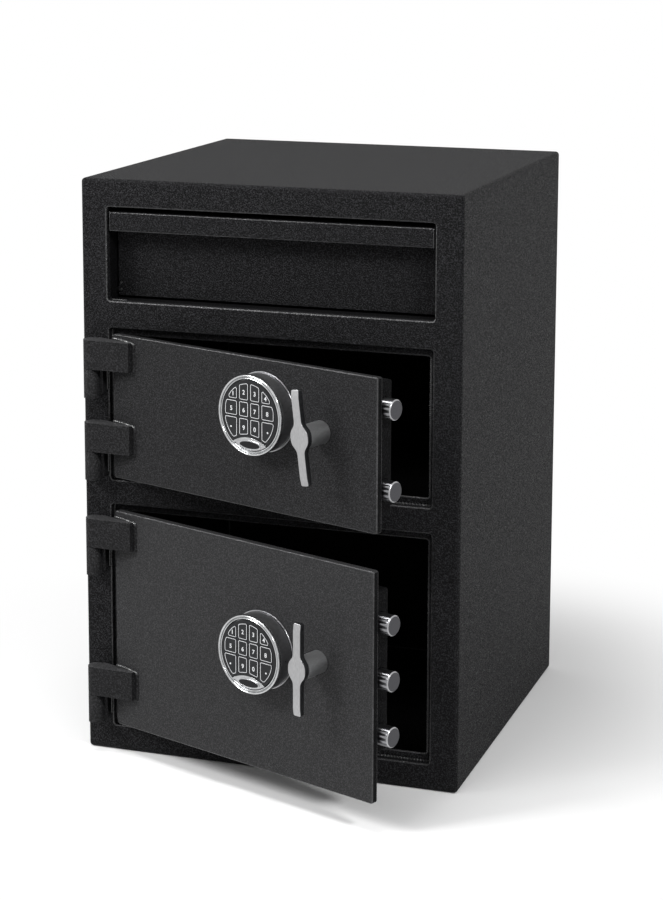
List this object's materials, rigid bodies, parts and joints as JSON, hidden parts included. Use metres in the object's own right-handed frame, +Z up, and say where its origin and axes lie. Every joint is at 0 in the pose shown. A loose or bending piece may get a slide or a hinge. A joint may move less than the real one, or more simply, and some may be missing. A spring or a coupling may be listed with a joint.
{
  "type": "drop safe with deposit drawer",
  "caption": "Black steel drop safe with a tilt-out deposit drawer over an upper and a lower locked compartment, each with keypad, handle and round bolts.",
  "frame": {"origin": "centre of the cabinet's underside, on the floor", "axes": "+Z up, -Y out of the front, +X to the right as seen from the front"},
  "size_m": [0.508, 0.6812, 0.762],
  "materials": {
    "texture_black": "fine textured powder coat",
    "plain_steel": "turned round bar",
    "dark_chrome": "polished",
    "satin_steel": "satin",
    "zinc_steel": "zinc plated",
    "keypad_black": "fine grain",
    "key_rubber": "matt",
    "lock_grey": "die-cast"
  },
  "bodies": {
    "safe": {"cabinet_body": "texture_black", "back_panel": "texture_black", "front_frame": "texture_black", "divider_shelf": "texture_black", "drop_housing": "texture_black", "upper_frame_knuckle_top": "texture_black", "upper_frame_knuckle_bottom": "texture_black", "lower_frame_knuckle_top": "texture_black", "lower_frame_knuckle_bottom": "texture_black"},
    "drawer": {"drawer_front": "texture_black", "drawer_tray": "texture_black"},
    "upper_door": {"upper_door_plate": "texture_black", "upper_hinge_strap_top": "texture_black", "upper_hinge_strap_bottom": "texture_black", "upper_bolt_housing": "texture_black", "upper_lock_case": "lock_grey", "upper_keypad_case": "dark_chrome", "upper_keypad_face": "keypad_black"},
    "upper_handle": {"upper_handle": "satin_steel"},
    "upper_bolts": {"upper_bolt_bar": "zinc_steel", "upper_bolt_1": "plain_steel", "upper_bolt_2": "plain_steel"},
    "upper_lock_bolt": {"upper_lock_bolt": "plain_steel"},
    "upper_key_1": {"upper_key_1": "key_rubber"},
    "upper_key_2": {"upper_key_2": "key_rubber"},
    "upper_key_3": {"upper_key_3": "key_rubber"},
    "upper_key_4": {"upper_key_4": "key_rubber"},
    "upper_key_5": {"upper_key_5": "key_rubber"},
    "upper_key_6": {"upper_key_6": "key_rubber"},
    "upper_key_7": {"upper_key_7": "key_rubber"},
    "upper_key_8": {"upper_key_8": "key_rubber"},
    "upper_key_9": {"upper_key_9": "key_rubber"},
    "upper_key_0": {"upper_key_0": "key_rubber"},
    "upper_key_clear": {"upper_key_clear": "key_rubber"},
    "upper_key_enter": {"upper_key_enter": "key_rubber"},
    "lower_door": {"lower_door_plate": "texture_black", "lower_hinge_strap_top": "texture_black", "lower_hinge_strap_bottom": "texture_black", "lower_bolt_housing": "texture_black", "lower_lock_case": "lock_grey", "lower_keypad_case": "dark_chrome", "lower_keypad_face": "keypad_black"},
    "lower_handle": {"lower_handle": "satin_steel"},
    "lower_bolts": {"lower_bolt_bar": "zinc_steel", "lower_bolt_1": "plain_steel", "lower_bolt_2": "plain_steel", "lower_bolt_3": "plain_steel"},
    "lower_lock_bolt": {"lower_lock_bolt": "plain_steel"},
    "lower_key_1": {"lower_key_1": "key_rubber"},
    "lower_key_2": {"lower_key_2": "key_rubber"},
    "lower_key_3": {"lower_key_3": "key_rubber"},
    "lower_key_4": {"lower_key_4": "key_rubber"},
    "lower_key_5": {"lower_key_5": "key_rubber"},
    "lower_key_6": {"lower_key_6": "key_rubber"},
    "lower_key_7": {"lower_key_7": "key_rubber"},
    "lower_key_8": {"lower_key_8": "key_rubber"},
    "lower_key_9": {"lower_key_9": "key_rubber"},
    "lower_key_0": {"lower_key_0": "key_rubber"},
    "lower_key_clear": {"lower_key_clear": "key_rubber"},
    "lower_key_enter": {"lower_key_enter": "key_rubber"}
  },
  "joints": [
    {"name": "drawer_tilt", "type": "hinge", "parent": "safe", "child": "drawer", "pos_m": [0, -0.221, 0.614], "axis": [1, 0, 0], "range_deg": [0, 48]},
    {"name": "upper_door_hinge", "type": "hinge", "parent": "safe", "child": "upper_door", "pos_m": [-0.235, -0.268, 0.374], "axis": [0, 0, -1], "range_deg": [-19.7, 95]},
    {"name": "upper_handle_turn", "type": "hinge", "parent": "upper_door", "child": "upper_handle", "pos_m": [0.11005, -0.39154, 0.486], "axis": [-0.3371, -0.9415, 0], "range_deg": [-8, 42]},
    {"name": "upper_bolts_slide", "type": "slide", "parent": "upper_door", "child": "upper_bolts", "axis": [-0.9415, 0.3371, 0], "range_m": [-0.00327, 0.01711]},
    {"name": "upper_lock_bolt_slide", "type": "slide", "parent": "upper_door", "child": "upper_lock_bolt", "axis": [0, 0, -1], "range_m": [-0.0095, 0]},
    {"name": "upper_key_1_press", "type": "slide", "parent": "upper_door", "child": "upper_key_1", "axis": [0.3371, 0.9415, 0], "range_m": [0, 0.0012], "stiffness_N_per_m": 200},
    {"name": "upper_key_2_press", "type": "slide", "parent": "upper_door", "child": "upper_key_2", "axis": [0.3371, 0.9415, 0], "range_m": [0, 0.0012], "stiffness_N_per_m": 200},
    {"name": "upper_key_3_press", "type": "slide", "parent": "upper_door", "child": "upper_key_3", "axis": [0.3371, 0.9415, 0], "range_m": [0, 0.0012], "stiffness_N_per_m": 200},
    {"name": "upper_key_4_press", "type": "slide", "parent": "upper_door", "child": "upper_key_4", "axis": [0.3371, 0.9415, 0], "range_m": [0, 0.0012], "stiffness_N_per_m": 200},
    {"name": "upper_key_5_press", "type": "slide", "parent": "upper_door", "child": "upper_key_5", "axis": [0.3371, 0.9415, 0], "range_m": [0, 0.0012], "stiffness_N_per_m": 200},
    {"name": "upper_key_6_press", "type": "slide", "parent": "upper_door", "child": "upper_key_6", "axis": [0.3371, 0.9415, 0], "range_m": [0, 0.0012], "stiffness_N_per_m": 200},
    {"name": "upper_key_7_press", "type": "slide", "parent": "upper_door", "child": "upper_key_7", "axis": [0.3371, 0.9415, 0], "range_m": [0, 0.0012], "stiffness_N_per_m": 200},
    {"name": "upper_key_8_press", "type": "slide", "parent": "upper_door", "child": "upper_key_8", "axis": [0.3371, 0.9415, 0], "range_m": [0, 0.0012], "stiffness_N_per_m": 200},
    {"name": "upper_key_9_press", "type": "slide", "parent": "upper_door", "child": "upper_key_9", "axis": [0.3371, 0.9415, 0], "range_m": [0, 0.0012], "stiffness_N_per_m": 200},
    {"name": "upper_key_0_press", "type": "slide", "parent": "upper_door", "child": "upper_key_0", "axis": [0.3371, 0.9415, 0], "range_m": [0, 0.0012], "stiffness_N_per_m": 200},
    {"name": "upper_key_clear_press", "type": "slide", "parent": "upper_door", "child": "upper_key_clear", "axis": [0.3371, 0.9415, 0], "range_m": [0, 0.0012], "stiffness_N_per_m": 200},
    {"name": "upper_key_enter_press", "type": "slide", "parent": "upper_door", "child": "upper_key_enter", "axis": [0.3371, 0.9415, 0], "range_m": [0, 0.0012], "stiffness_N_per_m": 200},
    {"name": "lower_door_hinge", "type": "hinge", "parent": "safe", "child": "lower_door", "pos_m": [-0.235, -0.268, 0.04], "axis": [0, 0, -1], "range_deg": [-20.4, 95]},
    {"name": "lower_handle_turn", "type": "hinge", "parent": "lower_door", "child": "lower_handle", "pos_m": [0.10851, -0.39575, 0.201], "axis": [-0.3486, -0.9373, 0], "range_deg": [0, 50]},
    {"name": "lower_bolts_slide", "type": "slide", "parent": "lower_door", "child": "lower_bolts", "axis": [-0.9373, 0.3486, 0], "range_m": [-0.00001, 0.02037]},
    {"name": "lower_lock_bolt_slide", "type": "slide", "parent": "lower_door", "child": "lower_lock_bolt", "axis": [0, 0, -1], "range_m": [-0.0095, 0]},
    {"name": "lower_key_1_press", "type": "slide", "parent": "lower_door", "child": "lower_key_1", "axis": [0.3486, 0.9373, 0], "range_m": [0, 0.0012], "stiffness_N_per_m": 200},
    {"name": "lower_key_2_press", "type": "slide", "parent": "lower_door", "child": "lower_key_2", "axis": [0.3486, 0.9373, 0], "range_m": [0, 0.0012], "stiffness_N_per_m": 200},
    {"name": "lower_key_3_press", "type": "slide", "parent": "lower_door", "child": "lower_key_3", "axis": [0.3486, 0.9373, 0], "range_m": [0, 0.0012], "stiffness_N_per_m": 200},
    {"name": "lower_key_4_press", "type": "slide", "parent": "lower_door", "child": "lower_key_4", "axis": [0.3486, 0.9373, 0], "range_m": [0, 0.0012], "stiffness_N_per_m": 200},
    {"name": "lower_key_5_press", "type": "slide", "parent": "lower_door", "child": "lower_key_5", "axis": [0.3486, 0.9373, 0], "range_m": [0, 0.0012], "stiffness_N_per_m": 200},
    {"name": "lower_key_6_press", "type": "slide", "parent": "lower_door", "child": "lower_key_6", "axis": [0.3486, 0.9373, 0], "range_m": [0, 0.0012], "stiffness_N_per_m": 200},
    {"name": "lower_key_7_press", "type": "slide", "parent": "lower_door", "child": "lower_key_7", "axis": [0.3486, 0.9373, 0], "range_m": [0, 0.0012], "stiffness_N_per_m": 200},
    {"name": "lower_key_8_press", "type": "slide", "parent": "lower_door", "child": "lower_key_8", "axis": [0.3486, 0.9373, 0], "range_m": [0, 0.0012], "stiffness_N_per_m": 200},
    {"name": "lower_key_9_press", "type": "slide", "parent": "lower_door", "child": "lower_key_9", "axis": [0.3486, 0.9373, 0], "range_m": [0, 0.0012], "stiffness_N_per_m": 200},
    {"name": "lower_key_0_press", "type": "slide", "parent": "lower_door", "child": "lower_key_0", "axis": [0.3486, 0.9373, 0], "range_m": [0, 0.0012], "stiffness_N_per_m": 200},
    {"name": "lower_key_clear_press", "type": "slide", "parent": "lower_door", "child": "lower_key_clear", "axis": [0.3486, 0.9373, 0], "range_m": [0, 0.0012], "stiffness_N_per_m": 200},
    {"name": "lower_key_enter_press", "type": "slide", "parent": "lower_door", "child": "lower_key_enter", "axis": [0.3486, 0.9373, 0], "range_m": [0, 0.0012], "stiffness_N_per_m": 200}
  ],
  "couplings": [
    {"joint": "upper_bolts_slide", "follows": "upper_handle_turn", "m_per_rad": 0.023331},
    {"joint": "lower_bolts_slide", "follows": "lower_handle_turn", "m_per_rad": 0.023331}
  ]
}
